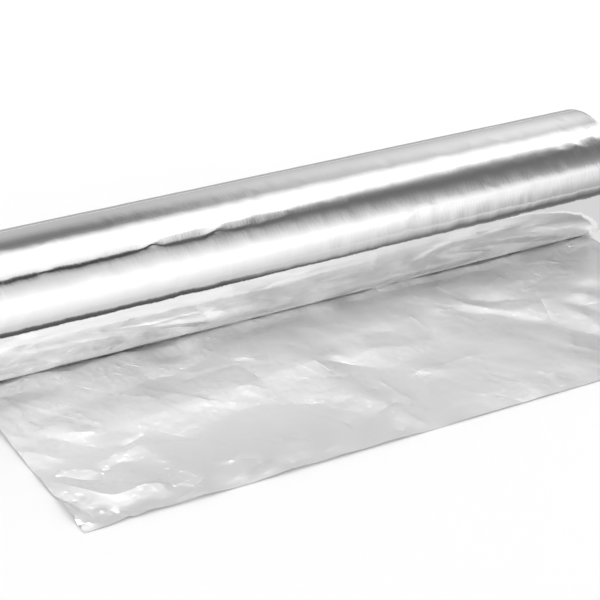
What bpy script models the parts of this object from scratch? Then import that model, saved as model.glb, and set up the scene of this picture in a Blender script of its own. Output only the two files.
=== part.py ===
"""Aluminium foil roll: a web of foil wound on a cardboard tube.

The roll lies on its side and the free end of the web is drawn off from underneath it, over the table.
The web is one piece: its turns are the winding, and its free end is the creased sheet. The tube is the other piece.
X runs along the roll, the sheet is drawn off towards -Y, and the table is at Z = 0.
"""

import math
import random

import bmesh
import bpy
from mathutils import Vector
from mathutils.bvhtree import BVHTree
from mathutils.geometry import delaunay_2d_cdt

MM = 0.001

# The web of foil
FOIL_WIDTH = 300.0 * MM
SHEET_THICKNESS = 0.4 * MM  # a solid has to be thicker than the real web, which is some 0.014 mm
SHEET_REACH = 110.8 * MM  # from the line where the roll touches the table to the free edge
SHEET_INSET = 0.3 * MM  # the outermost turn lies this far inside each end of the roll
SHEET_LIFT = 0.05 * MM  # the web leaves the roll this far above the table

# The winding
WINDING_DEPTH = 9.8 * MM  # all the turns together, from the first to the outermost
ROLL_FACETS = 48
BAND_PITCH = 1.15 * MM  # a band of some eighty turns that wandered sideways together
BAND_DEPTH = 0.35 * MM
BAND_SEED = 5

# The cardboard tube
CORE_BORE = 32.0 * MM
CORE_WALL = 2.0 * MM
CORE_CLEARANCE = 0.3 * MM  # between the tube and the first turn
CORE_PROUD = 1.0 * MM  # the tube is cut a little longer than the web is wide, at each end
CORE_CHAMFER = 0.4 * MM
CORE_FACETS = 48

# The creases in the sheet, one line each, in mm: from the left end, from the roll's line of contact, and up. The sheet
# is flat facets between them. Creases that share a point meet there in a peak.
CREASES = (
    # The left edge and the folded left corner
    ((0, 29, 1.3), (7, 30, 1.2)),
    ((0, 57, 1.3), (4, 57, 1.2)),
    ((3, 55, 0.8), (8, 65, 0.6), (12, 71, 0.5), (17, 74, 0.7)),
    ((0, 70, 1.0), (10, 69, 0.6)),
    ((3, 77, 0.6), (9, 78, 0.4), (14, 81, 0.5), (21, 85, 0.6)),
    ((0, 81, 0.8), (4, 93, 1.4), (6, 100, 1.1), (6, 104, 0.8)),
    ((6, 104, 0.8), (13, 103, 1.0), (16, 105, 0.6)),
    ((19, 98, 1.3), (23, 97, 1.8), (28, 98, 1.8), (29, 105, 0.4)),
    ((28, 98, 1.8), (36, 99, 1.7)),
    # The star on the left, and the ridges that run from it
    ((16, 55, 1.3), (24, 66, 1.6), (34, 75, 2.3)),
    ((34, 75, 2.3), (44, 72, 2.3), (50, 71, 2.4)),
    ((36, 70, 1.7), (45, 67, 1.2), (51, 66, 1.4)),
    ((34, 75, 2.3), (36, 82, 2.5), (39, 92, 2.8), (41, 102, 1.9), (45, 109, 0.5)),
    ((46, 78, 1.6), (49, 90, 1.2), (51, 103, 0.3)),
    ((29, 58, 1.2), (44, 64, 1.3)),
    ((44, 62, 1.4), (50, 58, 2.5), (56, 64, 2.1)),
    # The long ridge across the sheet, and the hollows before and behind it
    ((56, 58, 2.5), (77, 58, 2.7), (93, 58, 2.8), (101, 57, 3.2), (115, 56, 3.1), (128, 56, 4.1)),
    ((59, 73, 0.8), (75, 70, 0.9), (87, 67, 1.0), (101, 71, 1.5)),
    ((19, 39, 0.6), (44, 36, 0.8), (62, 34, 0.7), (84, 34, 0.4), (99, 29, 0.8), (106, 21, 1.5)),
    # The broad ridge to the free edge
    ((101, 63, 2.5), (105, 72, 3.1), (118, 88, 3.9), (124, 94, 4.2), (128, 100, 3.9), (132, 105, 2.1), (136, 110, 0.4)),
    ((126, 69, 2.0), (132, 77, 1.8), (138, 85, 1.6), (141, 94, 1.4), (142, 106, 0.3)),
    ((70, 81, 0.7), (92, 99, 0.5), (118, 104, 0.4)),
    # The peak in the middle, and the fold to its right
    ((128, 56, 4.1), (137, 59, 3.7), (144, 66, 3.5), (154, 71, 2.8), (160, 70, 2.4)),
    ((128, 56, 4.1), (137, 51, 3.3), (146, 53, 2.8)),
    ((142, 58, 2.7), (149, 55, 3.1), (157, 55, 2.9), (168, 57, 2.3), (178, 62, 1.1)),
    ((163, 73, 2.9), (160, 85, 2.7), (156, 95, 2.9), (155, 102, 2.2), (156, 109, 0.6)),
    ((165, 71, 2.0), (177, 65, 0.9)),
    ((149, 82, 1.6), (148, 96, 1.1)),
    ((174, 81, 1.9), (171, 96, 1.1)),
    # The long diagonal ridge on the right, with a hollow on either side
    ((203, 39, 2.0), (208, 48, 3.3), (215, 56, 4.4), (226, 69, 4.7), (235, 77, 4.4), (246, 88, 4.0)),
    ((246, 88, 4.0), (260, 99, 2.2), (271, 108, 0.5)),
    ((198, 62, 1.7), (208, 74, 1.6), (220, 84, 1.3), (235, 96, 1.0), (244, 106, 0.4)),
    ((210, 34, 2.2), (218, 39, 1.3), (229, 43, 1.2), (243, 51, 1.9)),
    ((216, 42, 1.9), (219, 50, 3.4), (224, 54, 3.9), (234, 54, 3.2)),
    ((229, 63, 3.4), (243, 72, 2.8), (256, 79, 2.2), (268, 92, 1.3)),
    ((202, 96, 0.9), (210, 90, 1.5)),
    # The right edge
    ((249, 56, 2.8), (252, 63, 1.5), (256, 68, 1.5), (260, 64, 2.1)),
    ((259, 53, 2.2), (266, 59, 3.4), (273, 56, 2.2)),
    ((266, 48, 2.7), (272, 47, 3.6), (281, 43, 3.9), (296, 39, 2.4)),
    ((298, 54, 1.8), (283, 63, 3.3), (278, 74, 2.4), (287, 88, 2.8)),
    # The folds that run out at the roll
    ((293, 15, 3.9), (281, 19, 3.7), (269, 22, 3.4), (257, 26, 3.0), (245, 33, 2.4)),
    ((294, 18, 1.8), (272, 25, 1.5), (260, 31, 1.3), (249, 37, 1.2)),
    ((0, 19, 0.5), (27, 21, 0.7), (45, 24, 1.0), (59, 28, 1.2)),
    ((66, 17, 2.2), (60, 28, 1.7)),
    ((99, 17, 2.3), (94, 23, 2.0), (86, 28, 1.6)),
    ((163, 16, 2.1), (156, 24, 1.9), (150, 33, 1.3)),
    ((158, 39, 1.4), (168, 36, 1.9), (178, 35, 1.3)),
    ((110, 24, 2.0), (138, 23, 1.7)),
    ((178, 23, 1.7), (210, 23, 1.7), (242, 22, 1.6)),
    # The free edge
    ((71, 105, 0.9), (85, 102, 1.0), (92, 109, 0.1)),
    ((99, 105, 0.5), (103, 106, 1.0), (109, 109, 0.1)),
)
# How the sheet's sides lie between those creases, in mm: from the roll's line of contact, and up
LEFT_SIDE = ((8, 0.3), (15, 0.4), (41, 0.4), (88, 0.3), (103, 0.1))
RIGHT_SIDE = ((8, 0.3), (20, 1.4), (70, 1.0), (90, 1.3))
# and its free edge: from the left end, and up
FREE_EDGE = (
    (5, 0.1), (13, 0.1), (17, 1.0), (20, 0.2), (25, 1.0), (34, 0.2), (46, 0.9), (60, 0.1), (74, 0.1), (86, 0.6),
    (96, 0.0), (104, 0.7), (112, 0.1), (128, 0.4), (138, 0.6), (150, 0.0), (157, 0.6), (175, 0.1), (192, 0.0),
    (215, 0.3), (240, 0.4), (258, 0.1), (274, 0.5),
)
NIP_STEP = 60.0 * MM  # under the roll the sheet runs out flat through points this far apart
NIP_REACH = 8.0 * MM
NIP_RISE = 0.3 * MM
SMALL_CREASE_SPACING = 11.0 * MM
SMALL_CREASE_HEIGHT = 0.2 * MM
CREASE_SEED = 23

FOIL_COLOUR = (0.91, 0.92, 0.92, 1.0)
KRAFT_COLOUR = (0.42, 0.29, 0.18, 1.0)

core_radius = CORE_BORE / 2 + CORE_WALL
winding_bore_radius = core_radius + CORE_CLEARANCE
roll_radius = winding_bore_radius + WINDING_DEPTH  # to the flats of its facets

# The origin is under the middle of the whole part, so the roll's axis stands back from it.
axis_y = (SHEET_REACH - roll_radius) / 2
axis_z = roll_radius


def clear_scene():
    for item in list(bpy.data.objects):
        bpy.data.objects.remove(item)


def make_collection(name):
    collection = bpy.data.collections.new(name)
    bpy.context.scene.collection.children.link(collection)
    return collection


def make_material(name, colour, roughness, metallic):
    material = bpy.data.materials.new(name)
    material.use_nodes = True
    shader = material.node_tree.nodes["Principled BSDF"]
    shader.inputs["Base Color"].default_value = colour
    shader.inputs["Roughness"].default_value = roughness
    shader.inputs["Metallic"].default_value = metallic
    return material


def turned_ring(name, profile, facets, collection):
    """A closed (radius, along) profile turned about the roll's axis. Facets lie flat to the table."""
    mesh = bpy.data.meshes.new(name)
    corners = [(along, radius, 0.0) for radius, along in profile]
    edges = [(i, (i + 1) % len(corners)) for i in range(len(corners))]
    mesh.from_pydata(corners, edges, [])
    ring = bpy.data.objects.new(name, mesh)
    collection.objects.link(ring)
    screw = ring.modifiers.new("Turn", "SCREW")
    screw.axis = "X"
    screw.steps = screw.render_steps = facets
    screw.use_merge_vertices = True
    screw.merge_threshold = 0.00001
    screw.use_smooth_shade = False
    # Half a facet's turn puts a flat underneath.
    ring.rotation_euler = (math.pi / facets, 0.0, 0.0)
    ring.location = (0.0, axis_y, axis_z)
    return ring


def band_face(outer, inner, draw):
    """Radius and depth of the bands of turns across one end of the winding, from the outside in."""
    bands = max(2, round((outer - inner) / BAND_PITCH))
    pitch = (outer - inner) / bands
    face = [(outer, 0.0)]
    for i in range(1, bands):
        shift = draw.uniform(-0.25, 0.25) * pitch
        depth = BAND_DEPTH * draw.uniform(0.6, 1.0) if i % 2 else 0.0
        face.append((outer - i * pitch + shift, depth))
    face.append((inner, 0.0))
    return face


def winding_profile():
    """Down the outside, in across the bands of one end, up the bore and out across the other end."""
    draw = random.Random(BAND_SEED)
    half = FOIL_WIDTH / 2
    outer = roll_radius / math.cos(math.pi / ROLL_FACETS)
    lower = [(radius, depth - half) for radius, depth in band_face(outer, winding_bore_radius, draw)]
    upper = [(radius, half - depth) for radius, depth in band_face(outer, winding_bore_radius, draw)]
    return lower + upper[::-1]


def core_profile():
    half = FOIL_WIDTH / 2 + CORE_PROUD
    inner = CORE_BORE / 2
    cut = min(CORE_CHAMFER, 0.4 * CORE_WALL)
    return [
        (core_radius, half - cut),
        (core_radius, cut - half),
        (core_radius - cut, -half),
        (inner + cut, -half),
        (inner, cut - half),
        (inner, half - cut),
        (inner + cut, half),
        (core_radius - cut, half),
    ]


def place_on_sheet(x, s, height):
    """A place x from the left end and s from the line of contact, kept between the sheet's two sides."""
    return (min(max(x, SHEET_INSET), FOIL_WIDTH - SHEET_INSET), s, height)


def crease_lines():
    """The creases, each as far as the sheet reaches."""
    lines = []
    for crease in CREASES:
        line = [(x * MM, s * MM, height * MM) for x, s, height in crease]
        line = [place_on_sheet(*point) for point in line if point[0] <= FOIL_WIDTH and point[1] < SHEET_REACH]
        if line:
            lines.append(line)
    return lines


def edge_points():
    """The sheet's outline: its corners, its two sides, its free edge and where it runs out under the roll."""
    left, right = SHEET_INSET, FOIL_WIDTH - SHEET_INSET
    points = [(x, s, 0.0) for x in (left, right) for s in (0.0, SHEET_REACH)]
    points += [(left, s * MM, height * MM) for s, height in LEFT_SIDE if s * MM < SHEET_REACH]
    points += [(right, s * MM, height * MM) for s, height in RIGHT_SIDE if s * MM < SHEET_REACH]
    points += [(x * MM, SHEET_REACH, height * MM) for x, height in FREE_EDGE if left < x * MM < right]
    steps = max(2, round(FOIL_WIDTH / NIP_STEP))
    for i in range(1, steps):
        points += [(FOIL_WIDTH * i / steps, 0.0, 0.0), (FOIL_WIDTH * i / steps, NIP_REACH, NIP_RISE)]
    return points


def nearest_on_segment(place, start, end):
    """How far a place is from a straight stretch of a crease, and the crease's height where it is nearest."""
    way = Vector(end[:2]) - Vector(start[:2])
    part = (Vector(place) - Vector(start[:2])).dot(way) / max(way.length_squared, 1e-12)
    part = min(max(part, 0.0), 1.0)
    gap = (Vector(start[:2]) + part * way - Vector(place)).length
    return gap, start[2] + part * (end[2] - start[2])


def facets_between(points, lines):
    """Flat facets through all the points, with every line kept as a fold: their corners and their triangles."""
    corners = list(points)
    folds = []
    for line in lines:
        first = len(corners)
        corners += line
        folds += [(i, i + 1) for i in range(first, first + len(line) - 1)]
    flat = [Vector(corner[:2]) for corner in corners]
    places, _, triangles, origins, _, _ = delaunay_2d_cdt(flat, folds, [], 0, 1e-7)
    found = []
    for place, origin in zip(places, origins):
        if origin:
            height = max(corners[i][2] for i in origin)
        else:
            # Two folds cross here, at a height between theirs.
            near = sorted(nearest_on_segment(place, corners[a], corners[b]) for a, b in folds)
            height = (near[0][1] + near[1][1]) / 2
        found.append((place.x, place.y, height))
    return found, triangles


def small_creases(surface, lines):
    """Points strewn between the creases, each a little off the facet below it."""
    draw = random.Random(CREASE_SEED)
    points = []
    for i in range(round(FOIL_WIDTH / SMALL_CREASE_SPACING)):
        for j in range(round(SHEET_REACH / SMALL_CREASE_SPACING)):
            x = (i + 0.5 + draw.uniform(-0.4, 0.4)) * SMALL_CREASE_SPACING
            s = (j + 0.5 + draw.uniform(-0.4, 0.4)) * SMALL_CREASE_SPACING
            rise = draw.gauss(0.0, 1.0) * SMALL_CREASE_HEIGHT
            clear = min(FOIL_WIDTH - x, SHEET_REACH - s, s - NIP_REACH, x)
            for line in lines:
                clear = min(clear, *(nearest_on_segment((x, s), a, b)[0] for a, b in zip(line, line[1:] or line)))
            if clear < 0.3 * SMALL_CREASE_SPACING:
                continue
            below = surface.ray_cast(Vector((x, s, 1.0)), Vector((0.0, 0.0, -1.0)))[0]
            if below is not None:
                points.append((x, s, max(0.0, below.z + rise)))
    return points


def drawn_off_sheet(collection):
    """The free end of the web: facets extruded straight up by its thickness, its back edge buried in the winding."""
    lines = crease_lines()
    surface = BVHTree.FromPolygons(*facets_between(edge_points(), lines))
    corners, triangles = facets_between(edge_points() + small_creases(surface, lines), lines)
    mesh = bpy.data.meshes.new("drawn_off_sheet")
    mesh.from_pydata(
        [(x - FOIL_WIDTH / 2, axis_y - s, height + SHEET_LIFT) for x, s, height in corners], [], triangles
    )
    solid = bmesh.new()
    solid.from_mesh(mesh)
    raised = bmesh.ops.extrude_face_region(solid, geom=solid.faces[:])["geom"]
    corners_above = [item for item in raised if isinstance(item, bmesh.types.BMVert)]
    bmesh.ops.translate(solid, verts=corners_above, vec=(0.0, 0.0, SHEET_THICKNESS))
    bmesh.ops.recalc_face_normals(solid, faces=solid.faces)
    solid.to_mesh(mesh)
    solid.free()
    sheet = bpy.data.objects.new("drawn_off_sheet", mesh)
    collection.objects.link(sheet)
    sheet.hide_render = True
    sheet.display_type = "WIRE"
    return sheet


def make_foil(parts, guides):
    foil = turned_ring("foil", winding_profile(), ROLL_FACETS, parts)
    join = foil.modifiers.new("Free end", "BOOLEAN")
    join.operation = "UNION"
    join.solver = "EXACT"
    join.object = drawn_off_sheet(guides)
    foil.data.materials.append(make_material("aluminium_foil", FOIL_COLOUR, 0.18, 1.0))
    return foil


def make_core(parts):
    core = turned_ring("core_tube", core_profile(), CORE_FACETS, parts)
    core.data.materials.append(make_material("kraft_cardboard", KRAFT_COLOUR, 0.85, 0.0))
    return core


def main():
    clear_scene()
    parts = make_collection("aluminium_foil_roll")
    guides = make_collection("guides")
    make_foil(parts, guides)
    make_core(parts)


main()
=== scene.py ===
"""A roll of aluminium foil, shiny side out, with its creased free end drawn off over the table.

X runs along the roll, the free end comes off towards -Y, and the table is at Z = 0. Lengths are in metres.
The sheet's creases are given in millimetres: x from its left edge, s forward of the line where the roll
touches the table, and the height above the table.
"""

import math
import random

import bmesh
import bpy
import numpy as np
from mathutils import Matrix, Vector, noise
from mathutils.bvhtree import BVHTree
from mathutils.geometry import delaunay_2d_cdt


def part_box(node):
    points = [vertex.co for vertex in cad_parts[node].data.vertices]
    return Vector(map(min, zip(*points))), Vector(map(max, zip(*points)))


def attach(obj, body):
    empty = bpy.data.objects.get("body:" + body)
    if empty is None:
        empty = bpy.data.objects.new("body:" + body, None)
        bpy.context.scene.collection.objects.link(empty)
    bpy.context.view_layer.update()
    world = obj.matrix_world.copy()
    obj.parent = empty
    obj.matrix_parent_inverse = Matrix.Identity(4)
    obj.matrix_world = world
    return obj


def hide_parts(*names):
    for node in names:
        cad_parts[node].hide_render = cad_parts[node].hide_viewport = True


MM = 0.001

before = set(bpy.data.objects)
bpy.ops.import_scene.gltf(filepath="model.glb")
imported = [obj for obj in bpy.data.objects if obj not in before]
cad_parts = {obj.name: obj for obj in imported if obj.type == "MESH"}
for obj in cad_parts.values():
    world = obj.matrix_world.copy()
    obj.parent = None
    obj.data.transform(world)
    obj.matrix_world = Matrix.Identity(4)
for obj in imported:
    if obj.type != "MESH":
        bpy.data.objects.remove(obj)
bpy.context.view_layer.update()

# The winding and the sheet take their sizes from the model
foil_low, foil_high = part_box("foil")
tube_low, tube_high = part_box("core_tube")
ROLL_RADIUS = foil_high[2] / 2
AXIS_Y = foil_high[1] - ROLL_RADIUS
AXIS_Z = ROLL_RADIUS
WIDTH = foil_high[0] - foil_low[0]
REACH = AXIS_Y - foil_low[1]
TUBE_RADIUS = (tube_high[2] - tube_low[2]) / 2

# The winding's surface
WINDING_SEED = 3
AROUND = 200
ALONG_STEP = 1.0 * MM
DENT_DEPTH = 0.04 * MM
BROAD_DENTS = (26, 14)  # how many along the roll, and round it
NARROW_DENTS = (70, 30)
NARROW_DENT_SHARE = 0.6
# Short kinks in the outer turn: x in mm from the left end, degrees from the back over the top, how far each
# runs in the same terms, and its height in mm
KINK_WIDTH = 1.1
KINK_FADE = 0.8  # the share of its height that a kink has lost at its far end
KINKS = (
    (28, 131, 3, -3, 0.10), (33, 107, -3, 4, 0.08), (65, 115, 2, -5, 0.10), (65, 115, -4, 3, 0.08),
    (75, 127, 5, 4, 0.16), (75, 127, -6, 3, 0.12), (75, 127, 1, -7, 0.08), (103, 127, 6, 3, 0.14),
    (103, 127, -5, 3, 0.12), (135, 124, 5, 5, 0.10), (137, 136, -4, 3, 0.08), (187, 159, 5, 7, 0.10),
    (190, 152, 6, -3, 0.12), (201, 148, 7, 4, 0.10), (231, 142, 4, 4, 0.08), (262, 128, 5, 6, 0.10),
    (273, 126, 8, 2, 0.14), (282, 124, 6, 5, 0.14), (282, 124, -4, 6, 0.10), (292, 118, 4, -4, 0.12),
)
RIM_ROUNDING = 0.35 * MM
RIM_STEPS = 4
RIM_SHARPNESS = math.radians(50)  # facets that meet at less than this are shaded as one bend
BORE_GAP = 0.15 * MM  # between the tube and the first turn
TURN_BANDS = 46
TURN_BAND_DEPTH = 0.14 * MM  # how far a turn wandered in from the roll's end

# The sheet, in millimetres from here on
SHEET_SPAN = WIDTH / MM
SHEET_END = 111.0
ON_EDGE = 0.01  # a place this near to an edge is on it
UNDER_ROLL = 0.15  # how near the sheet comes to the roll above it
WAVES = ((34.0, 0.6), (15.0, 0.30), (7.0, 0.10))  # length, height
LEAST_HEIGHT = 0.25  # hollows level out above the table over about this height
# Its corners, which lie at random but evenly
FINE_SEED = 14
FINE_SPACING = 1.2
MERGE_GAP = 1e-4
STRAY = 0.42  # how far a corner may be off its own place, in spacings
LINE_CLEARANCE = 0.35  # how near to a crease it may lie, in spacings
EDGE_CLEARANCE = 0.3
# The main creases: each strays a little from the straight, and the panels between them are drawn taut
WANDER = 1.6
WANDER_STEP = 3.0
OTHER_WANDER = Vector((50.0, 50.0, 0.0))  # so that a line strays differently in x and in s
ON_LINE = 0.02
PANEL_PASSES = 20  # how far the panels are drawn taut
SOFTENING_PASSES = 4  # and how far a soft crease goes with them
FREE_END = 3.5  # a crease that meets no other runs out over this length
CREASE_SHARPNESS = math.radians(11)  # facets that meet at less than this are shaded as one bend
# The small creases, whose arms meet in stars
STARS = 210
STAR_SEED = 21
STAR_PATCH = 40.0  # the stars lie thick in patches of about this size
STAR_PATCH_EDGE = 0.4
STARS_FROM, ARMS_FROM = 22.0, 20.0  # no star and no arm lies nearer to the roll
SIDE_MARGIN, END_MARGIN, ARM_MARGIN = 3.0, 2.0, 0.5
STAR_LEAST, STAR_MOST = 0.03, 0.32  # heights
STAR_RATE = 12.0  # the mean height above the least is one part in this of a millimetre
STAR_ARMS = (1, 2, 3, 3, 4)
ARM_SHARE = 1.5  # of the star's height, which its arms divide
ARM_LENGTH = 6.0
ARM_GROWTH = (40.0, 110.0)  # and so much longer for each millimetre of the star's height
ARM_LEAN, ARM_SPREAD = 30.0, 50.0  # degrees from the roll's direction, forward
CRISP_SIDE = 1.0  # over this length an arm falls away on one side, and over the next on the other
SOFT_SIDE = (2.5, 7.0)
# The free edge, torn off along a toothed blade
NICK_SEED = 9
NICK_DEPTH = 0.05
NICK_REACH = 11.0
# How far the edge is out of line near the left corner: the places along it, then the amounts
CORNER_LINE = ((0, 3, 8, 15, 18, 21, 26, 40, 300), (0.2, 0.1, 0.3, -0.2, -0.7, -0.1, -0.5, 0.0, 0.0))
# and in metres
SHEET_THICKNESS = 0.05 * MM
SHEET_LIFT = 0.02 * MM

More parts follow.
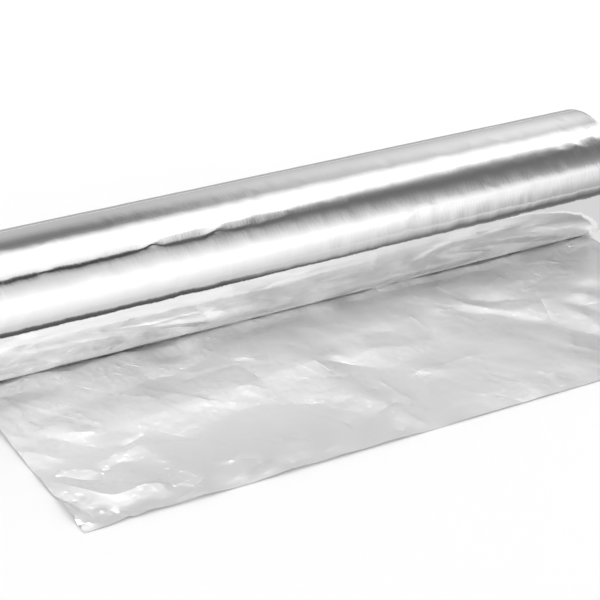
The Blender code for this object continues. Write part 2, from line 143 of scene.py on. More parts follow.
# The sheet's creases, crests and hollows alike: how crisp each is from 0 to 1, then its points as x, s
# and height
CREASES = (
    # The left edge
    (0.6, ((0, 55, 0.9), (5, 53, 0.8), (10, 52, 0.8), (14, 53, 0.6))),
    (0.7, ((0, 56.5, 1.1), (5, 60, 1.7), (9, 66, 1.6), (12, 72, 1.3))),
    (0.8, ((0, 69.5, 0.2), (8, 69, 0.4))),
    (0.5, ((0, 75, 0.9), (8, 74, 1.0), (15, 77, 0.9), (23, 83, 0.8))),
    (1.0, ((2, 77.5, 0.5), (8, 77.5, 0.4), (13, 81, 0.1), (20, 86, 0.1))),
    (1.0, ((0, 79, 0.9), (6, 83, 1.6), (10, 89, 1.9), (14, 94, 2.0), (17, 97, 2.0))),
    (1.0, ((0, 87, 0.3), (3, 91.5, 0.1), (5, 97, 0.1), (6.5, 104, 0.2))),
    # The crumpled left corner
    (0.9, ((17, 97, 2.0), (20, 98, 2.1), (28, 97, 2.2), (36, 98, 1.9), (41.5, 100, 0.8))),
    (1.0, ((6.5, 104, 0.1), (10, 103.5, 1.1), (14, 104, 1.0))),
    (1.0, ((8, 99, 1.0), (13, 103, 0.1))),
    (1.0, ((14, 104, 1.0), (16, 107, 0.1), (16.5, 110, 0.1))),
    (1.0, ((18, 104, 1.4), (19, 109, 0.1))),
    (0.8, ((22, 103, 1.3), (25, 108, 0.2))),
    (0.8, ((28, 97, 2.5), (29.5, 104, 0.6))),
    (1.0, ((0, 106, 0.2), (3, 107, 1.0), (8, 110, 0.1))),
    # The star on the left, and the folds that run from it
    (0.9, ((14, 53, 0.6), (18, 57, 0.8), (22, 62, 0.8), (28, 68, 0.8), (35, 74, 1.3))),
    (0.8, ((19, 54, 1.5), (26, 57, 1.8), (33, 60, 1.8), (38, 61, 1.2), (45, 66, 0.9))),
    (0.7, ((26, 66.5, 1.1), (35, 66, 1.4), (45, 66.5, 1.3))),
    (0.9, ((20, 77, 0.8), (27, 75, 1.0), (35, 74, 1.3))),
    (1.0, (
        (20, 86, 0.1), (22, 80.5, 0.1), (30, 80, 0.1), (34, 80.5, 0.1), (37.5, 84, 0.1),
        (39.5, 89, 0.1), (41.5, 100, 0.1), (43.5, 105, 0.1), (45, 110, 0.1),
    )),
    (0.7, ((35, 74, 1.3), (40, 72.5, 1.7), (44, 74, 1.6), (48, 79, 1.3))),
    (1.0, ((35, 74, 1.3), (35.5, 70, 0.9), (45, 66.8, 0.8), (50, 69, 0.9))),
    (0.4, ((40, 72.5, 1.7), (44, 80, 1.4), (48, 90, 1.4), (50.5, 100, 1.1), (51.5, 106, 0.4))),
    # The long ridge across the sheet, and the hollow before it
    (0.7, (
        (41, 62, 1.7), (46, 59.5, 2.0), (52, 58.5, 2.1), (60, 58, 2.2),
        (70, 57, 2.2), (85, 56.5, 2.2), (94, 55.5, 2.2),
    )),
    (0.9, ((94, 55.5, 2.2), (103, 54.5, 2.3), (115, 53.5, 2.4), (124, 53, 2.5), (130, 52, 2.8))),
    (0.4, (
        (51, 69, 0.9), (57, 74, 0.6), (67, 75, 0.5), (76, 71, 0.7),
        (85, 68, 0.9), (94, 68, 1.0), (103, 71, 0.8),
    )),
    (0.8, ((80, 89, 1.1), (88, 94, 1.2), (95, 96.5, 1.2), (101, 97.5, 1.0))),
    (0.1, ((84, 84, 0.7), (92, 88, 0.6), (101, 92, 0.6))),
    # The broad fold to the free edge: the foot of its near side, then its crest
    (0.8, (
        (103, 71, 0.8), (111, 74, 0.6), (119, 80, 0.5),
        (125, 87, 0.4), (129.5, 93, 0.4), (132.5, 96, 0.4),
    )),
    (1.0, ((132.5, 96, 0.4), (134, 103, 0.4), (137, 110.5, 0.1))),
    (0.3, ((128, 70.5, 1.8), (133, 78, 1.8), (137.5, 85, 1.7), (140.5, 94, 1.4), (142, 107, 0.6))),
    (0.2, ((146, 88, 1.2), (149, 95, 1.0), (150, 103, 0.7))),
    # The peak in the middle, and the fold to its right
    (1.0, ((130, 52, 2.8), (132, 59, 2.3), (134.5, 62.5, 2.0))),
    (0.9, (
        (130, 52, 2.8), (137, 54, 1.7), (141, 56.5, 1.2),
        (147, 62, 1.0), (152, 66, 0.9), (158, 68, 0.8),
    )),
    (0.7, ((158, 68, 0.8), (165, 66.5, 0.8), (171, 64.5, 0.9), (178, 62, 1.0))),
    (0.6, ((130, 52, 2.8), (137, 50.5, 2.3), (142, 52, 2.1), (143, 56, 1.6))),
    (0.8, (
        (143, 57.5, 1.5), (149, 54, 1.9), (156, 53.5, 2.0),
        (163, 54.5, 1.9), (170, 57, 1.6), (175, 60, 1.3),
    )),
    (0.1, ((140, 43, 1.6), (160, 42, 1.2), (175, 44, 1.2), (190, 42, 1.5))),
    (1.0, (
        (163.5, 72, 0.7), (164, 78, 0.6), (162.5, 83, 0.5),
        (160, 88, 0.5), (158, 93, 0.4), (157, 100, 0.4),
    )),
    (0.8, ((157, 100, 0.4), (157.5, 108, 0.2))),
    (0.6, ((166, 73, 1.4), (170, 76, 1.7), (176, 78, 1.6), (183, 81.5, 1.4), (188, 83, 1.3))),
    (0.1, ((166, 73, 1.4), (169, 82, 1.5), (168, 95, 1.2), (166, 108, 0.5))),
    # The long diagonal fold on the right, and the wedge behind it
    (0.8, (
        (203, 37, 1.3), (208, 42, 0.9), (214, 48, 0.7),
        (220.5, 52, 0.6), (227.5, 58, 0.5), (234, 65, 0.5),
    )),
    (0.8, ((234, 65, 0.5), (241, 73, 0.5), (249, 82, 0.4), (259, 94, 0.3), (269, 107, 0.2))),
    (1.0, (
        (211, 35, 1.4), (215, 41, 1.2), (220, 47.5, 1.1),
        (225, 52, 1.2), (235, 52, 1.5), (245, 52, 1.7),
    )),
    (0.8, ((211, 32, 1.3), (217, 36, 0.8), (223, 39.5, 0.6), (232, 44, 0.7), (244, 49, 1.2))),
    (0.2, ((225, 52, 1.2), (236, 58, 1.3), (245, 63, 1.3), (250, 70, 1.3), (256, 79, 1.1), (262, 89, 0.9))),
    (0.1, ((190, 58, 1.6), (200, 66, 1.7), (212, 77, 1.6), (226, 90, 1.4), (240, 106, 0.6))),
    (0.4, ((193, 110, 0.3), (202, 98, 1.2), (211, 92, 1.6), (222, 89, 1.5))),
    # The right edge
    (0.8, ((249, 56, 1.9), (250, 63, 1.8), (252.5, 68, 1.6), (256.5, 71, 1.5))),
    (0.2, ((252, 56, 1.5), (256, 60, 1.2), (259, 64, 1.0), (262, 68, 1.1))),
    (0.8, ((256, 54, 2.2), (260, 53, 2.4), (264, 55, 2.4), (268, 57.5, 2.4))),
    (0.4, ((262, 48.5, 1.7), (268, 50.5, 1.6), (274, 53, 1.7))),
    (0.7, ((266, 47.5, 2.0), (272, 46, 2.3), (281, 43, 2.6), (296, 39, 2.2))),
    (0.5, ((298, 54, 1.8), (283, 63, 2.3), (278, 74, 2.0), (287, 88, 1.8))),
    (0.3, ((262, 89, 0.9), (272, 98, 0.8), (280, 106, 0.4))),
    # The folds that run out at the roll, from the left end
    (0.1, ((0, 21, 0.5), (15, 21, 0.5), (29, 21.5, 0.7))),
    (0.1, ((0, 31, 2.5), (8, 29.5, 2.0), (18, 28.5, 1.6), (29, 29, 1.5))),
    (0.5, ((34, 19, 1.6), (32, 24, 0.9), (33, 30, 1.0))),
    (0.1, ((9, 43, 0.5), (25, 39, 0.4), (40, 36.5, 0.3), (58, 34.5, 0.3), (72, 33, 0.3))),
    (0.7, ((69, 20, 2.0), (75, 26, 1.5), (81, 28.5, 1.3), (87, 27.5, 1.4), (95, 23, 1.7), (101, 16, 2.2))),
    (0.9, ((72, 33, 0.3), (81, 34, 0.2), (90, 31, 0.3), (100, 26.5, 0.5))),
    (0.3, ((78, 21, 0.7), (84, 22, 0.6), (90, 20, 0.9), (95, 17, 1.6))),
    (0.6, (
        (100, 26.5, 0.5), (107, 22, 0.6), (114, 19, 0.7),
        (125, 17.5, 0.9), (138, 16.8, 1.1), (150, 16.5, 1.3), (157, 16.5, 1.6),
    )),
    (0.3, ((112, 27, 1.4), (120, 25, 1.6), (130, 23, 1.8), (146, 22, 1.9))),
    (0.3, (
        (162, 14, 2.8), (160, 20, 2.2), (155, 26, 1.7), (150, 31, 1.4),
    )),
    (0.6, (
        (166, 16.8, 1.4), (180, 16.5, 1.1), (200, 16.5, 1.1),
        (220, 16.5, 1.1), (240, 17, 1.1), (255, 17.5, 1.3),
    )),
    (0.3, ((168, 22, 2.0), (182, 21.8, 2.0), (200, 21.8, 2.0), (218, 21.8, 1.9), (236, 22.5, 1.8))),
    (0.2, ((158, 35, 1.5), (168, 34, 1.8), (178, 33.5, 1.7), (186, 34, 1.6))),
    (0.1, ((228, 37, 1.5), (246, 33, 1.9), (257, 27.5, 2.1), (267, 22, 2.2), (276, 18.5, 2.4))),
    (0.3, (
        (238, 42, 0.9), (252, 37, 0.8), (263, 32, 0.8), (273, 26, 0.8),
        (281, 21.5, 0.9), (289, 19.5, 1.1), (297, 18, 1.2),
    )),
    # The crest of the bulge that stands up against the roll
    (0.5, (
        (0, 14, 2.4), (18, 14, 3.0), (33, 13.8, 3.1), (36.5, 16, 3.3),
        (42, 17.5, 2.7), (50, 16, 2.9), (58, 14.5, 3.1),
    )),
    (0.5, (
        (58, 14.5, 3.1), (65, 13.8, 3.2), (68, 15.5, 3.0), (76, 16.5, 2.3),
        (86, 16.5, 2.3), (92, 15.5, 2.5), (97, 14, 2.7),
    )),
    (0.5, (
        (97, 14, 2.7), (115, 13, 2.5), (130, 13, 2.4), (145, 13, 2.4),
        (157, 13, 2.5), (162, 14, 2.8), (172, 13, 2.3),
    )),
    (0.5, ((172, 13, 2.3), (200, 12.5, 2.4), (230, 13, 2.3), (255, 13.5, 2.5), (268, 15.5, 2.5))),
    (0.7, ((276, 18.5, 2.4), (285, 16, 3.0), (292, 14.5, 3.2), (300, 14, 2.6))),
    # The free edge
    (0.9, ((69, 106, 0.9), (77, 104, 1.1), (83, 104, 0.9), (90, 110.5, 0.1))),
    (0.9, ((90, 104, 0.8), (96, 110, 0.2))),
    (0.9, ((97, 107, 0.8), (103, 106, 1.1), (108, 109.5, 0.2))),
)
# Where the sheet's border lies on the table or stands off it, in the same terms
BORDER = (
    # Under the roll
    (0, 0, 0.0), (60, 0, 0.0), (120, 0, 0.0), (180, 0, 0.0), (240, 0, 0.0), (300, 0, 0.0),
    (0, 8, 0.3), (60, 8, 0.3), (120, 8, 0.3), (180, 8, 0.3), (240, 8, 0.3), (300, 8, 0.3),
    # The left and the right edge
    (0, 76, 1.1), (0, 92, 1.7), (0, 98, 2.1), (0, 103, 1.8), (0, 107, 1.1),
    (300, 20, 1.4), (300, 70, 1.0), (300, 90, 1.3),
    # The free edge
    (0, 111, 0.0), (5, 111, 0.4), (13, 111, 0.8), (17, 111, 1.3), (20, 111, 0.7), (25, 111, 1.4),
    (34, 111, 0.9), (46, 111, 1.2), (60, 111, 0.2), (74, 111, 0.4), (86, 111, 1.0), (96, 111, 0.9),
    (104, 111, 1.1),
    (112, 111, 0.8), (128, 111, 0.7), (138, 111, 0.6), (150, 111, 0.0), (157, 111, 0.7), (175, 111, 0.3),
    (192, 111, 0.0), (215, 111, 0.4), (240, 111, 0.5), (258, 111, 0.1), (274, 111, 0.5), (300, 111, 0.0),
)

# The camera, from the lines of the roll and the sheet in the photograph
CAMERA_AZIMUTH = math.radians(-33.588)
CAMERA_ELEVATION = math.radians(29.465)
CAMERA_TILT = math.radians(4.123)
CAMERA_DISTANCE = 861.15 * MM
CAMERA_TARGET = Vector((2.93 * MM, 37.22 * MM, 0.0))
CAMERA_LENS = 123.85
CAMERA_SENSOR = 36.0
CAMERA_NEAR, CAMERA_FAR = 0.01, 50.0

# The floor and the lamp
FLOOR_HALF = 6.0
FLOOR_DROP = 0.05 * MM
FLOOR_GLOW = 0.025  # takes the lit floor up to white
LAMP_SIZE = 1.2
LAMP_POWER = 3.0
LAMP_PLACE = (0.5, 0.6, 1.4)
GLOSSY_BOUNCES = 12  # foil faces foil at the nip, and light goes between them many times

# The studio as the bright foil shows it: rows go round the roll, 0 behind it and 90 overhead, and each row
# gives the brightness towards the roll's left end, its middle and its right end. White is 1, and the lights
# are brighter.
SURROUND_RADIUS = 1.1
SURROUND_FOOT = 0.002  # it ends this far above the table
SURROUND_COLUMNS = (0.39, 0.60, 0.915)
SURROUND_STEPS = 9
SURROUND = (
    (0.5, 0.52, 0.50, 0.54),
    (8, 0.54, 0.58, 0.58),
    (24, 0.50, 0.67, 0.74),
    (34, 0.38, 0.67, 0.84),
    (42, 0.24, 0.62, 0.86),
    (50, 0.20, 0.56, 0.80),
    (57, 0.28, 0.54, 0.70),
    (60, 0.50, 0.70, 0.74),
    (66, 0.92, 0.98, 1.00),
    (71, 1.15, 1.15, 1.15),
    (75, 2.70, 2.70, 2.70),
    (86, 2.70, 2.70, 2.70),
    (90, 2.70, 1.40, 1.02),
    (95, 2.70, 1.05, 0.55),
    (100, 1.08, 0.50, 0.28),
    (104, 1.05, 0.24, 0.22),
    (109, 0.85, 0.16, 0.17),
    (112, 0.10, 0.16, 0.16),
    (116, 0.05, 0.18, 0.16),
    (119, 0.36, 0.22, 0.17),
    (124, 0.62, 0.34, 0.19),
    (131, 0.76, 0.55, 0.24),
    (138, 0.92, 0.80, 0.38),
    (145, 1.10, 1.00, 0.85),
    (149, 1.26, 1.16, 1.00),
    (158, 1.32, 1.22, 0.86),
    (162, 1.14, 1.10, 0.80),
    (168, 1.04, 0.96, 0.66),
    (175, 0.92, 0.84, 0.50),
    (181.3, 0.80, 0.72, 0.42),
)
# Beyond the outer columns the brightness holds for the first length and has gone over to that of the side
# at the second. From each angle on, SIDE_GLOW gives it on the left and on the right.
LEFT_EASE, RIGHT_EASE = (0.13, 0.50), (0.04, 0.25)
SIDE_GLOW = ((0, 0.55, 0.12), (60, 1.2, 0.4), (74, 2.4, 1.0), (96, 1.0, 0.7), (105, 1.5, 0.35))
# The table in front of the sheet, as the bright foil shows it: metres from the line of contact, then the
# brightness in four columns. A column lies at its first number from the left end, plus its second for each
# metre from the line of contact.
TABLE_COLUMNS = ((0.015, 0.37), (0.056, 0.76), (0.07, 0.89), (0.12, 1.30))
TABLE_STEPS = 15
TABLE_FRONT = (
    (0.1115, 0.09, 0.08, 0.12, 0.26),
    (0.128, 0.09, 0.09, 0.12, 0.18),
    (0.136, 0.10, 0.10, 0.30, 0.15),
    (0.150, 0.12, 0.13, 0.46, 0.14),
    (0.170, 0.17, 0.30, 0.54, 0.15),
    (0.182, 0.45, 0.56, 0.57, 0.19),
    (0.190, 0.62, 0.60, 0.58, 0.21),
    (0.250, 0.67, 0.63, 0.61, 0.26),
    (0.500, 0.74, 0.69, 0.66, 0.34),
    (1.100, 0.80, 0.75, 0.72, 0.42),
)
# The table behind the roll and beyond the sheet's right edge: how far each card reaches, and its brightness
TABLE_BACK, TABLE_BACK_GLOW = (0.04, 1.1), 0.46
TABLE_SIDE, TABLE_SIDE_GLOW = (3 * MM, 0.6), 0.72
CARD_END = 4.0
CARD_HEIGHT = 0.001


def linear(hex_colour):
    """An sRGB hex colour as the linear values that Blender's sockets take."""
    channels = [int(hex_colour[i : i + 2], 16) / 255 for i in (1, 3, 5)]
    return (*[c / 12.92 if c <= 0.04045 else ((c + 0.055) / 1.055) ** 2.4 for c in channels], 1.0)


def feed(tree, node, **inputs):
    """Sets inputs by name, or by number as in_0. Each takes a value, a socket, or a node's first output."""
    for name, value in inputs.items():
        key = int(name[3:]) if name.startswith("in_") else name.replace("_", " ")
        if isinstance(value, bpy.types.Node):
            value = value.outputs[0]
        if isinstance(value, bpy.types.NodeSocket):
            tree.links.new(value, node.inputs[key])
        else:
            node.inputs[key].default_value = value


def add_node(tree, kind, settings=None, **inputs):
    """Adds a node with its settings and its inputs."""
    node = tree.nodes.new(kind)
    for name, value in (settings or {}).items():
        setattr(node, name, value)
    feed(tree, node, **inputs)
    return node


def new_material(name):
    material = bpy.data.materials.new(name)
    material.use_nodes = True
    tree = material.node_tree
    return material, tree, tree.nodes["Principled BSDF"]


def millimetres(tree):
    """The place on the object in millimetres."""
    place = add_node(tree, "ShaderNodeTexCoord").outputs["Object"]
    return add_node(tree, "ShaderNodeVectorMath", {"operation": "SCALE"}, in_0=place, Scale=1 / MM)


def round_the_roll(tree):
    """The place as (along the roll, round it, out from its axis), all in millimetres."""
    split = add_node(tree, "ShaderNodeSeparateXYZ", in_0=millimetres(tree))
    _, y, z = split.outputs
    across = add_node(tree, "ShaderNodeMath", {"operation": "SUBTRACT"}, in_0=y, in_1=AXIS_Y / MM)
    up = add_node(tree, "ShaderNodeMath", {"operation": "SUBTRACT"}, in_0=z, in_1=AXIS_Z / MM)
    angle = add_node(tree, "ShaderNodeMath", {"operation": "ARCTAN2"}, in_0=across, in_1=up)
    arc = add_node(tree, "ShaderNodeMath", {"operation": "MULTIPLY"}, in_0=angle, in_1=ROLL_RADIUS / MM)
    across = add_node(tree, "ShaderNodeMath", {"operation": "POWER"}, in_0=across, in_1=2.0)
    up = add_node(tree, "ShaderNodeMath", {"operation": "POWER"}, in_0=up, in_1=2.0)
    squares = add_node(tree, "ShaderNodeMath", {"operation": "ADD"}, in_0=across, in_1=up)
    out = add_node(tree, "ShaderNodeMath", {"operation": "SQRT"}, in_0=squares)
    return split.outputs[0], arc, out


def grain(tree, place, period, detail=2.0, roughness=0.5):
    """Noise stretched so that one wave takes the three lengths in period, in millimetres."""
    scaled = add_node(tree, "ShaderNodeVectorMath", {"operation": "DIVIDE"}, in_0=place, in_1=period)
    return add_node(tree, "ShaderNodeTexNoise", Vector=scaled, Scale=1.0, Detail=detail, Roughness=roughness)


def bright_rolled_foil():
    """The side polished by the mill's rolls: near mirror-bright, drawn out by fine grooves along the web."""
    material, tree, shader = new_material("bright_rolled_foil")
    along, arc, _ = round_the_roll(tree)
    place = add_node(tree, "ShaderNodeCombineXYZ", in_0=along, in_1=arc)
    grooves = grain(tree, place, (0.5, 1.8, 1.0), 3.0, 0.6)  # wider than the real ones, so that they show
    streaks = grain(tree, place, (1.2, 4.0, 1.0))
    normal = add_node(tree, "ShaderNodeBump", Height=streaks, Distance=0.02 * MM)
    normal = add_node(tree, "ShaderNodeBump", Height=grooves, Distance=0.012 * MM, Normal=normal)
    feed(tree, shader, Base_Color=linear("#F7F7F7"), Metallic=1.0, Roughness=0.055, Normal=normal)
    return material


def satin_rolled_foil():
    """The side that ran against another web in the mill: an even satin with a faint grain along the web."""
    material, tree, shader = new_material("satin_rolled_foil")
    place = millimetres(tree)
    fine = grain(tree, place, (0.8, 9.0, 1.0), roughness=0.6)  # coarser than the real one, so that it shows
    ripples = grain(tree, place, (14.0, 2.6, 4.0))
    normal = add_node(tree, "ShaderNodeBump", Height=ripples, Distance=0.05 * MM)
    normal = add_node(tree, "ShaderNodeBump", Height=fine, Distance=0.008 * MM, Normal=normal)
    feed(tree, shader, Base_Color=linear("#EEEEEE"), Metallic=1.0, Roughness=0.40, Normal=normal)
    return material


def slit_foil_edges():
    """The cut edges of the turns: hundreds of fine rings, a little greyer than the face of the foil."""
    material, tree, shader = new_material("slit_foil_edges")
    _, arc, out = round_the_roll(tree)
    place = add_node(tree, "ShaderNodeCombineXYZ", in_0=out, in_1=arc)
    # The real turns are finer, and are drawn wider so that they show
    rings = grain(tree, place, (0.16, 60.0, 1.0), roughness=0.7)
    shade = add_node(tree, "ShaderNodeValToRGB", Fac=rings)
    for stop, at, colour in zip(shade.color_ramp.elements, (0.3, 0.7), ("#B9BCBE", "#E9EAEA")):
        stop.position = at
        stop.color = linear(colour)
    normal = add_node(tree, "ShaderNodeBump", Height=rings, Distance=0.03 * MM)
    feed(tree, shader, Base_Color=shade, Metallic=1.0, Roughness=0.36, Normal=normal)
    return material


def kraft_board():
    """Spiral-wound grey-brown board: matt, with short paper fibres and the joint of the outer ply."""
    material, tree, shader = new_material("spiral_wound_kraft_board")
    along, arc, out = round_the_roll(tree)
    place = add_node(tree, "ShaderNodeCombineXYZ", in_0=along, in_1=arc, in_2=out)
    fibres = grain(tree, place, (2.2, 0.5, 0.5), 4.0, 0.6)  # thicker than real ones, so that they show
    clouds = grain(tree, place, (9.0, 9.0, 9.0))
    # The ply climbs by its own width in each turn, and its two edges meet with a narrow gap
    ply_width, ply_gap = 60.0, 0.6
    turn = 2 * math.pi * ROLL_RADIUS / MM
    widths = add_node(tree, "ShaderNodeMath", {"operation": "DIVIDE"}, in_0=along, in_1=ply_width)
    turns = add_node(tree, "ShaderNodeMath", {"operation": "DIVIDE"}, in_0=arc, in_1=turn)
    climb = add_node(tree, "ShaderNodeMath", {"operation": "ADD"}, in_0=widths, in_1=turns)
    joint = add_node(tree, "ShaderNodeMath", {"operation": "FRACT"}, in_0=climb)
    gap = add_node(tree, "ShaderNodeMath", {"operation": "LESS_THAN"}, in_0=joint, in_1=ply_gap / ply_width)
    fibre_part = add_node(tree, "ShaderNodeMath", {"operation": "MULTIPLY"}, in_0=fibres, in_1=0.6)
    cloud_part = add_node(tree, "ShaderNodeMath", {"operation": "MULTIPLY"}, in_0=clouds, in_1=0.4)
    mixed = add_node(tree, "ShaderNodeMath", {"operation": "ADD"}, in_0=fibre_part, in_1=cloud_part)
    shade = add_node(tree, "ShaderNodeValToRGB", Fac=mixed)
    for stop, at, colour in zip(shade.color_ramp.elements, (0.3, 0.7), ("#8C6E4E", "#B79872")):
        stop.position = at
        stop.color = linear(colour)
    # The Mix node's inputs 6 and 7 are its two colours, and its output 2 is their mix
    dark = linear("#5E4630")
    mix = add_node(tree, "ShaderNodeMix", {"data_type": "RGBA"}, Factor=gap, in_6=shade, in_7=dark)
    height = add_node(tree, "ShaderNodeMath", {"operation": "SUBTRACT"}, in_0=fibres, in_1=gap)
    normal = add_node(tree, "ShaderNodeBump", Height=height, Distance=0.05 * MM)
    feed(tree, shader, Base_Color=mix.outputs[2], Roughness=0.88, Normal=normal)
    return material


def mesh_object(name, points, faces, materials, face_materials=None):
    mesh = bpy.data.meshes.new(name)
    mesh.from_pydata([tuple(p) for p in points], [], faces)
    for material in materials:
        mesh.materials.append(material)
    if face_materials is not None:
        mesh.polygons.foreach_set("material_index", face_materials)
    mesh.update()
    made = bpy.data.objects.new(name, mesh)
    bpy.context.scene.collection.objects.link(made)
    return made


def face_outwards(made):
    mesh = bmesh.new()
    mesh.from_mesh(made.data)
    bmesh.ops.recalc_face_normals(mesh, faces=mesh.faces)
    mesh.to_mesh(made.data)
    mesh.free()


def smooth_noise(draw, shape, cells):
    """Random values on a coarse lattice, spread smoothly. The second direction closes on itself."""
    rows, columns = cells
    lattice = np.array([[draw.gauss(0, 1) for _ in range(columns)] for _ in range(rows)])
    u = np.linspace(0, rows - 1.001, shape[0])
    v = np.linspace(0, columns, shape[1], endpoint=False)
    i, j = np.floor(u).astype(int), np.floor(v).astype(int)
    fu, fv = (u - i)[:, None], (v - j)[None, :]
    fu, fv = fu * fu * (3 - 2 * fu), fv * fv * (3 - 2 * fv)
    before, after = j % columns, (j + 1) % columns
    low, high = lattice[i], lattice[np.minimum(i + 1, rows - 1)]
    low = low[:, before] * (1 - fv) + low[:, after] * fv
    high = high[:, before] * (1 - fv) + high[:, after] * fv
    return low * (1 - fu) + high * fu


def kinks(xs, degrees):
    """How far the kinks stand out, in mm, at places along the roll and degrees from its bottom."""
    per_degree = math.radians(1) * ROLL_RADIUS / MM
    from_back = degrees - 90.0
    places = np.stack(np.meshgrid(xs, from_back * per_degree, indexing="ij"), axis=-1)
    total = np.zeros(places.shape[:2])
    for x, turn, run, climb, height in KINKS:
        start, way = np.array((x, turn * per_degree)), np.array((run, climb * per_degree))
        part = np.clip((places - start) @ way / (way @ way), 0, 1)
        gap = np.linalg.norm(places - start - part[..., None] * way, axis=-1)
        total += height * (1 - KINK_FADE * part) * np.exp(-gap / KINK_WIDTH)
    return total


def winding_rings(draw):
    """Rings of the winding as (along, radius), and which of them are the first and the last on its outside.

    They go across the left end from the bore out, along the outside, and in across the right end.
    """
    half = WIDTH / 2
    bore = TUBE_RADIUS + BORE_GAP
    radii = [bore + (ROLL_RADIUS - RIM_ROUNDING - bore) * i / TURN_BANDS for i in range(TURN_BANDS + 1)]
    rim = []
    for step in range(1, RIM_STEPS):
        angle = step / RIM_STEPS * math.pi / 2
        along = half - RIM_ROUNDING * (1 - math.cos(angle))
        rim.append((along, ROLL_RADIUS - RIM_ROUNDING * (1 - math.sin(angle))))
    rings = [(-half + draw.uniform(0.0, TURN_BAND_DEPTH), radius) for radius in radii]
    rings += [(-along, radius) for along, radius in rim]
    first = len(rings)
    length = WIDTH - 2 * RIM_ROUNDING
    steps = round(length / ALONG_STEP)
    rings += [(-half + RIM_ROUNDING + length * i / steps, ROLL_RADIUS) for i in range(steps + 1)]
    last = len(rings) - 1
    rings += reversed(rim)
    rings += [(half - draw.uniform(0.0, TURN_BAND_DEPTH), radius) for radius in reversed(radii)]
    return rings, first, last


def wound_foil(face, edges):
    """The winding: its dented outer turn, rounded rims, ends in fine bands of turns, and its bore."""
    draw = random.Random(WINDING_SEED)
    rings, first, last = winding_rings(draw)
    grid = (last - first + 1, AROUND)
    dents = smooth_noise(draw, grid, BROAD_DENTS)
    dents += NARROW_DENT_SHARE * smooth_noise(draw, grid, NARROW_DENTS)
    angle = np.arange(AROUND) * 2 * math.pi / AROUND
    outside = np.array([along for along, _ in rings[first : last + 1]])
    relief = kinks(outside / MM + SHEET_SPAN / 2, np.degrees(angle)) * MM - DENT_DEPTH * np.abs(dents)
    points, faces, slots = [], [], []
    for ring, (along, radius) in enumerate(rings):
        if first <= ring <= last:
            radius = radius + relief[ring - first]
        y = AXIS_Y + radius * np.sin(angle)
        z = AXIS_Z - radius * np.cos(angle)
        points += [(along, y[k], z[k]) for k in range(AROUND)]
        after = (ring + 1) % len(rings)
        on_face = first - RIM_STEPS < ring < last + RIM_STEPS - 1
        for k in range(AROUND):
            m = (k + 1) % AROUND
            faces.append((ring * AROUND + k, ring * AROUND + m, after * AROUND + m, after * AROUND + k))
            slots.append(0 if on_face else 1)
    made = mesh_object("wound_foil", points, faces, [face, edges], slots)
    face_outwards(made)
    made.data.shade_smooth()
    made.data.set_sharp_from_angle(angle=RIM_SHARPNESS)
    return made


def height_where_lines_cross(place, edges, flat):
    """The mean height of the two lines that meet at a place, each taken between its own ends."""
    found = []
    for a, b in edges:
        start, end = Vector(flat[a][:2]), Vector(flat[b][:2])
        part = min(max((place - start).dot(end - start) / (end - start).length_squared, 0.0), 1.0)
        gap = (start.lerp(end, part) - place).length
        found.append((gap, flat[a][2] + (flat[b][2] - flat[a][2]) * part))
    found.sort()
    return (found[0][1] + found[1][1]) / 2


def triangulated(points, lines):
    """The points and lines as triangles, every line kept as an edge: what was given, its edges, the mesh."""
    index, flat, edges = {}, [], []

    def number(point):
        key = (round(point[0], 3), round(point[1], 3))
        if key not in index:
            index[key] = len(flat)
            flat.append(point)
        return index[key]

    for line in lines:
        numbers = [number(point) for point in line]
        edges += [(a, b) for a, b in zip(numbers, numbers[1:]) if a != b]
    for point in points:
        number(point)
    flat_places = [Vector(point[:2]) for point in flat]
    places, _, triangles, origins, _, _ = delaunay_2d_cdt(flat_places, edges, [], 0, MERGE_GAP)
    return flat, edges, places, triangles, origins


def main_facets():
    """The sheet as flat facets between its main creases."""
    lines = [wandering(line) for _, line in CREASES]
    flat, edges, places, triangles, origins = triangulated(BORDER, lines)
    corners = []
    for place, origin in zip(places, origins):
        height = flat[origin[0]][2] if origin else height_where_lines_cross(place, edges, flat)
        corners.append((place.x, place.y, height))
    return BVHTree.FromPolygons(corners, triangles), lines


def height_at(tree, x, s):
    """The height of the facets at a place, or just inside it if it is on the sheet's edge."""
    x = min(max(x, ON_EDGE), SHEET_SPAN - ON_EDGE)
    s = min(max(s, ON_EDGE), SHEET_END - ON_EDGE)
    hit = tree.ray_cast(Vector((x, s, 100.0)), Vector((0.0, 0.0, -1.0)))[0]
    return hit.z if hit is not None else 0.0


def beside(places, start, end):
    """Each place from a straight stretch: how far off, how far along (0 to 1), and the side (-1 to 1)."""
    start, way = np.array(start[:2]), np.array(end[:2]) - np.array(start[:2])
    part = np.clip((places - start) @ way / max(way @ way, 1e-9), 0, 1)
    off = places - start - part[:, None] * way
    gap = np.linalg.norm(off, axis=1)
    side = (way[0] * off[:, 1] - way[1] * off[:, 0]) / np.maximum(gap * np.linalg.norm(way), 1e-9)
    return gap, part, side


def gap_from(lines, places):
    """How far each place is from the nearest of the lines."""
    gaps = np.full(len(places), math.inf)
    for line in lines:
        for start, end in zip(line, line[1:]):
            gaps = np.minimum(gaps, beside(places, start, end)[0])
    return gaps


def even_points(draw, spacing, lines):
    """Places spread over the sheet at about one spacing, and none so near a line that a sliver would form."""
    places = []
    for i in range(round(SHEET_SPAN / spacing)):
        for j in range(round(SHEET_END / spacing)):
            x = (i + 0.5 + draw.uniform(-STRAY, STRAY)) * spacing
            s = (j + 0.5 + draw.uniform(-STRAY, STRAY)) * spacing
            places.append((min(x, SHEET_SPAN - EDGE_CLEARANCE), min(s, SHEET_END - EDGE_CLEARANCE)))
    places = np.array(places)
    return [tuple(place) for place in places[gap_from(lines, places) > LINE_CLEARANCE * spacing]]


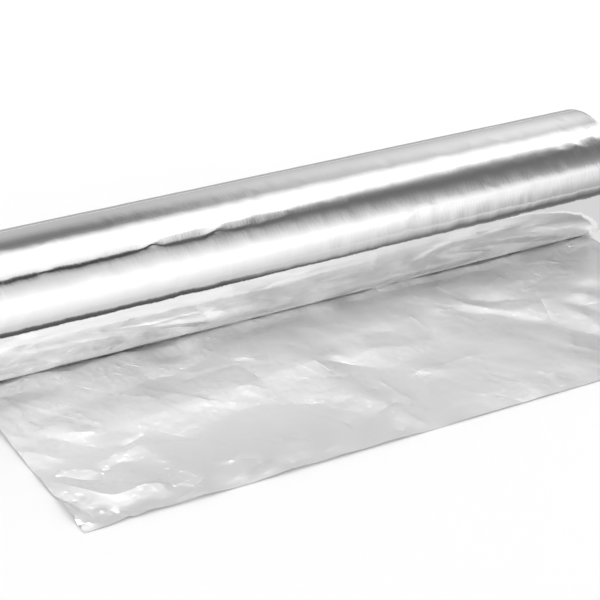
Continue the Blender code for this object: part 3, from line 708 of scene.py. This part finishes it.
def finely_divided(line, step):
    """The same line with a point at every step."""
    points = []
    for start, end in zip(line, line[1:]):
        pieces = max(1, round(math.dist(start[:2], end[:2]) / step))
        first, way = np.array(start), np.array(end) - np.array(start)
        points += [tuple(first + way * i / pieces) for i in range(pieces)]
    return points + [line[-1]]


def wandering(line):
    """The same line, a little off straight between its ends."""
    points = finely_divided(line, WANDER_STEP)
    for i, (x, s, height) in enumerate(points[1:-1], 1):
        place = Vector((x, s, 0.0)) / (3 * WANDER_STEP)
        x += WANDER * noise.noise(place)
        s += WANDER * noise.noise(place + OTHER_WANDER)
        points[i] = (min(max(x, 0.0), SHEET_SPAN), min(max(s, 0.0), SHEET_END), height)
    return points


def small_creases():
    """Creases that meet in stars, thick in some patches: the start, end, height and soft side of each."""
    draw = random.Random(STAR_SEED)
    arms, stars = [], 0
    while stars < STARS:
        x = draw.uniform(SIDE_MARGIN, SHEET_SPAN - SIDE_MARGIN)
        s = draw.uniform(STARS_FROM, SHEET_END - END_MARGIN)
        if noise.noise(Vector((x, s, 7.0)) / STAR_PATCH) < draw.uniform(-STAR_PATCH_EDGE, STAR_PATCH_EDGE):
            continue
        stars += 1
        height = draw.choice((-1, 1)) * min(STAR_LEAST + draw.expovariate(STAR_RATE), STAR_MOST)
        count = draw.choice(STAR_ARMS)
        for _ in range(count):
            turn = math.radians(draw.gauss(ARM_LEAN, ARM_SPREAD) + draw.choice((0, 180)))
            length = ARM_LENGTH + draw.uniform(*ARM_GROWTH) * abs(height)
            end_x = min(max(x + length * math.cos(turn), ARM_MARGIN), SHEET_SPAN - ARM_MARGIN)
            end_s = min(max(s + length * math.sin(turn), ARMS_FROM), SHEET_END - ARM_MARGIN)
            soft = draw.choice((-1, 1)) * draw.uniform(*SOFT_SIDE)
            arms.append(((x, s), (end_x, end_s), ARM_SHARE * height / count, soft))
    return arms


def star_relief(arms, places):
    """How far the small creases raise each place: steeply on one side and gently on the other."""
    total = np.zeros(len(places))
    for start, end, height, soft in arms:
        gap, part, side = beside(places, start, end)
        mean, spread = (abs(soft) + CRISP_SIDE) / 2, (abs(soft) - CRISP_SIDE) / 2
        width = mean + spread * side * math.copysign(1, soft)
        total += height * (1 - part) * np.exp(-gap / width)
    return total


def drawn_taut(heights, sides, give, passes):
    """Each pass takes every corner its own share of the way to the mean height of its neighbours."""
    first, second = sides.T
    count = np.bincount(sides.ravel(), minlength=len(heights))
    for _ in range(passes):
        around = np.bincount(first, heights[second], len(heights))
        around += np.bincount(second, heights[first], len(heights))
        heights = heights + give * (around / count - heights)
    return heights


def freedom(places, inside, main_lines):
    """For each place: how far softening may take it, from 0 to 1, and whether a main crease holds it."""
    give, held = inside * 1.0, np.zeros(len(places), bool)
    ends = [end for _, line in CREASES for end in (line[0][:2], line[-1][:2])]
    for (crisp, given), line in zip(CREASES, main_lines):
        on_line = gap_from([line], places) < ON_LINE
        for end in (given[0], given[-1]):
            if ends.count(end[:2]) == 1 and 0 < end[0] < SHEET_SPAN:
                on_line &= np.linalg.norm(places - np.array(end[:2]), axis=1) > FREE_END
        give[on_line] *= 1 - crisp
        held |= on_line
    return give, held


def rim_places(spacing):
    """Places at about one spacing round the sheet's four sides, its corners among them."""
    across, deep = round(SHEET_SPAN / spacing), round(SHEET_END / spacing)
    places = [(SHEET_SPAN * i / across, s) for i in range(across + 1) for s in (0.0, SHEET_END)]
    return places + [(x, SHEET_END * j / deep) for j in range(1, deep) for x in (0.0, SHEET_SPAN)]


def creased_sheet():
    """The sheet in mm: taut panels between the main creases, with small creases and waves in them."""
    tree, main_lines = main_facets()
    arms = small_creases()
    lines = [finely_divided(line, FINE_SPACING) for line in main_lines]
    lines += [finely_divided((start, end), FINE_SPACING) for start, end, _, _ in arms]
    points = even_points(random.Random(FINE_SEED), FINE_SPACING, lines) + rim_places(FINE_SPACING)
    _, _, places, triangles, _ = triangulated(points, lines)
    heights = np.array([height_at(tree, place.x, place.y) for place in places])
    places = np.array([tuple(place) for place in places])
    x, s = places.T
    inside = (x > ON_EDGE) & (x < SHEET_SPAN - ON_EDGE) & (s > ON_EDGE) & (s < SHEET_END - ON_EDGE)
    corners = np.array(triangles)
    sides = np.concatenate([corners[:, (0, 1)], corners[:, (1, 2)], corners[:, (2, 0)]])
    sides = np.unique(np.sort(sides, axis=1), axis=0)
    give, held = freedom(places, inside, main_lines)
    heights = drawn_taut(heights, sides, inside & ~held, PANEL_PASSES)
    heights = drawn_taut(heights, sides, give, SOFTENING_PASSES)
    heights += star_relief(arms, places)
    for length, height in WAVES:
        heights += [height * noise.noise(Vector((a, b, length)) / length) for a, b in places]
    heights = (heights + np.sqrt(heights**2 + LEAST_HEIGHT**2)) / 2
    return np.column_stack([places, heights]), triangles


def thin_solid(triangles, below):
    """Faces of a thin solid: the triangles on top, the same turned over underneath, and the edge between.

    Each has its material too, 1 underneath and 0 elsewhere. Below is how many corners the top has.
    """
    faces, slots, uses = [], [], {}
    for triangle in triangles:
        faces += [tuple(triangle), tuple(below + k for k in reversed(triangle))]
        slots += [0, 1]
        for a, b in zip(triangle, (*triangle[1:], triangle[0])):
            uses[(a, b)] = True
    for a, b in uses:
        if (b, a) not in uses:
            faces.append((b, a, below + a, below + b))
            slots.append(0)
    return faces, slots


def drawn_off_sheet(top, underside):
    """The free end of the web, a thin solid whose back edge lies in the winding."""
    corners, triangles = creased_sheet()
    draw = random.Random(NICK_SEED)
    nick_at = np.arange(0.0, SHEET_SPAN + 1.0)
    nicks = np.array([draw.gauss(0, 1) for _ in nick_at]) * NICK_DEPTH
    nicks += np.interp(nick_at, *CORNER_LINE)
    made_top, made_under = [], []
    for x, s, height in corners:
        if s * MM < ROLL_RADIUS:
            room = (ROLL_RADIUS - math.sqrt(ROLL_RADIUS**2 - (s * MM) ** 2)) / MM - UNDER_ROLL
            height = max(0.0, min(height, room))
        s += max(0.0, (s - SHEET_END + NICK_REACH) / NICK_REACH) * float(np.interp(x, nick_at, nicks))
        place = ((x - SHEET_SPAN / 2) * MM, AXIS_Y - s * REACH / SHEET_END)
        made_under.append((*place, height * MM + SHEET_LIFT))
        made_top.append((*place, height * MM + SHEET_LIFT + SHEET_THICKNESS))
    faces, slots = thin_solid(triangles, len(made_top))
    made = mesh_object("drawn_off_sheet", made_top + made_under, faces, [top, underside], slots)
    face_outwards(made)
    made.data.shade_smooth()
    made.data.set_sharp_from_angle(angle=CREASE_SHARPNESS)
    return made


def plain_floor():
    """White board: white to the eye and in reflections, and it keeps the shadow."""
    material, tree, shader = new_material("white_board")
    path = add_node(tree, "ShaderNodeLightPath")
    seen = path.outputs["Is Camera Ray"]
    for ray in ("Is Glossy Ray", "Is Transmission Ray"):
        seen = add_node(tree, "ShaderNodeMath", {"operation": "MAXIMUM"}, in_0=seen, in_1=path.outputs[ray])
    glow = add_node(tree, "ShaderNodeMath", {"operation": "MULTIPLY"}, in_0=seen, in_1=FLOOR_GLOW)
    feed(tree, shader, Base_Color=linear("#F4F4F4"), Roughness=1.0, Specular_IOR_Level=0.0)
    feed(tree, shader, Emission_Color=linear("#FFFFFF"), Emission_Strength=glow)
    half = FLOOR_HALF
    corners = [(-half, -half, 0.0), (half, -half, 0.0), (half, half, 0.0), (-half, half, 0.0)]
    floor = mesh_object("floor", corners, [(0, 1, 2, 3)], [material])
    floor.location.z = -FLOOR_DROP


def lit_card_material():
    """Glows as bright as each point of its card says."""
    material, tree, _ = new_material("lit_card")
    tree.nodes.clear()
    level = add_node(tree, "ShaderNodeAttribute", {"attribute_name": "glow"}).outputs["Fac"]
    shine = add_node(tree, "ShaderNodeEmission", Strength=level)
    add_node(tree, "ShaderNodeOutputMaterial", Surface=shine)
    return material


def lit_card(name, rows, glow):
    """A card that only reflections see, each of its points with its own brightness."""
    columns = len(rows[0])
    faces = []
    for i in range(len(rows) - 1):
        for j in range(columns - 1):
            k = i * columns + j
            faces.append((k, k + 1, k + columns + 1, k + columns))
    material = bpy.data.materials.get("lit_card") or lit_card_material()
    card = mesh_object(name, [p for row in rows for p in row], faces, [material])
    layer = card.data.attributes.new("glow", "FLOAT", "POINT")
    layer.data.foreach_set("value", [g for row in glow for g in row])
    card.visible_camera = card.visible_diffuse = card.visible_shadow = card.visible_transmission = False


def eased(values, places, at):
    return [float(g) for g in np.interp(at, places, values)]


def surround():
    left, _, right = SURROUND_COLUMNS
    on_left = [-CARD_END, left - LEFT_EASE[1], left - LEFT_EASE[0]]
    on_right = [right + RIGHT_EASE[0], right + RIGHT_EASE[1], CARD_END]
    along = [*on_left, *np.linspace(left, right, SURROUND_STEPS), *on_right]
    rows, glow = [], []
    for angle, *levels in SURROUND:
        turn = math.radians(angle)
        y = AXIS_Y + SURROUND_RADIUS * math.cos(turn)
        z = AXIS_Z + SURROUND_RADIUS * math.sin(turn)
        rows.append([(x, y, max(z, SURROUND_FOOT)) for x in along])
        row = eased(levels, SURROUND_COLUMNS, along)
        _, left_glow, right_glow = [side for side in SIDE_GLOW if side[0] <= angle][-1]
        row[:2], row[-2:] = [left_glow] * 2, [right_glow] * 2
        glow.append(row)
    lit_card("studio_surround", rows, glow)


def table_front():
    rows, glow = [], []
    for out, *levels in TABLE_FRONT:
        places = [start + slope * out - WIDTH / 2 for start, slope in TABLE_COLUMNS]
        along = [-CARD_END, *np.linspace(places[0], places[-1], TABLE_STEPS), CARD_END]
        rows.append([(x, AXIS_Y - out, CARD_HEIGHT) for x in along])
        glow.append(eased(levels, places, along))
    lit_card("table_front", rows, glow)


def table_side():
    """The table beyond the sheet's right edge, which the roll shows a little greyer than it looks."""
    near, far = [WIDTH / 2 + out for out in TABLE_SIDE]
    rows = [[(x, AXIS_Y - out, CARD_HEIGHT) for x in (near, far)] for out in (0.0, REACH)]
    lit_card("table_side", rows, [[TABLE_SIDE_GLOW] * 2] * 2)


def table_back():
    rows = [[(x, AXIS_Y + out, CARD_HEIGHT) for x in (-CARD_END, 0.0, CARD_END)] for out in TABLE_BACK]
    lit_card("table_back", rows, [[TABLE_BACK_GLOW] * 3] * 2)


def studio():
    """Plain soft light, and the cards that stand for the lit and unlit parts of the studio in reflections."""
    plain_floor()
    world = bpy.data.worlds.new("studio")
    bpy.context.scene.world = world
    world.use_nodes = True
    feed(world.node_tree, world.node_tree.nodes["Background"], Color=linear("#FFFFFF"), Strength=1.0)
    surround()
    table_front()
    table_side()
    table_back()
    lamp = bpy.data.lights.new("softbox", "AREA")
    lamp.size = LAMP_SIZE
    lamp.energy = LAMP_POWER
    holder = bpy.data.objects.new("softbox", lamp)
    holder.location = LAMP_PLACE
    holder.rotation_euler = (-holder.location).to_track_quat("-Z", "Y").to_euler()
    holder.visible_glossy = False
    bpy.context.scene.collection.objects.link(holder)


def photograph_camera():
    lens = bpy.data.cameras.new("camera")
    lens.lens = CAMERA_LENS
    lens.sensor_width = CAMERA_SENSOR
    lens.clip_start = CAMERA_NEAR
    lens.clip_end = CAMERA_FAR
    camera = bpy.data.objects.new("camera", lens)
    turn = (
        Matrix.Rotation(CAMERA_AZIMUTH, 4, "Z")
        @ Matrix.Rotation(math.pi / 2 - CAMERA_ELEVATION, 4, "X")
        @ Matrix.Rotation(CAMERA_TILT, 4, "Z")
    )
    back = turn @ Vector((0.0, 0.0, 1.0))
    camera.matrix_world = Matrix.Translation(CAMERA_TARGET + back * CAMERA_DISTANCE) @ turn
    bpy.context.scene.collection.objects.link(camera)
    bpy.context.scene.camera = camera


def main():
    photograph_camera()
    bright, satin = bright_rolled_foil(), satin_rolled_foil()
    roll = wound_foil(bright, slit_foil_edges())
    sheet = drawn_off_sheet(satin, bright)
    for piece in (roll, sheet):
        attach(piece, "root")
        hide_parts("foil")
    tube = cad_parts["core_tube"]
    tube.data.materials.clear()
    tube.data.materials.append(kraft_board())
    studio()
    scene = bpy.context.scene
    scene.view_settings.view_transform = "Standard"
    scene.cycles.glossy_bounces = GLOSSY_BOUNCES


main()
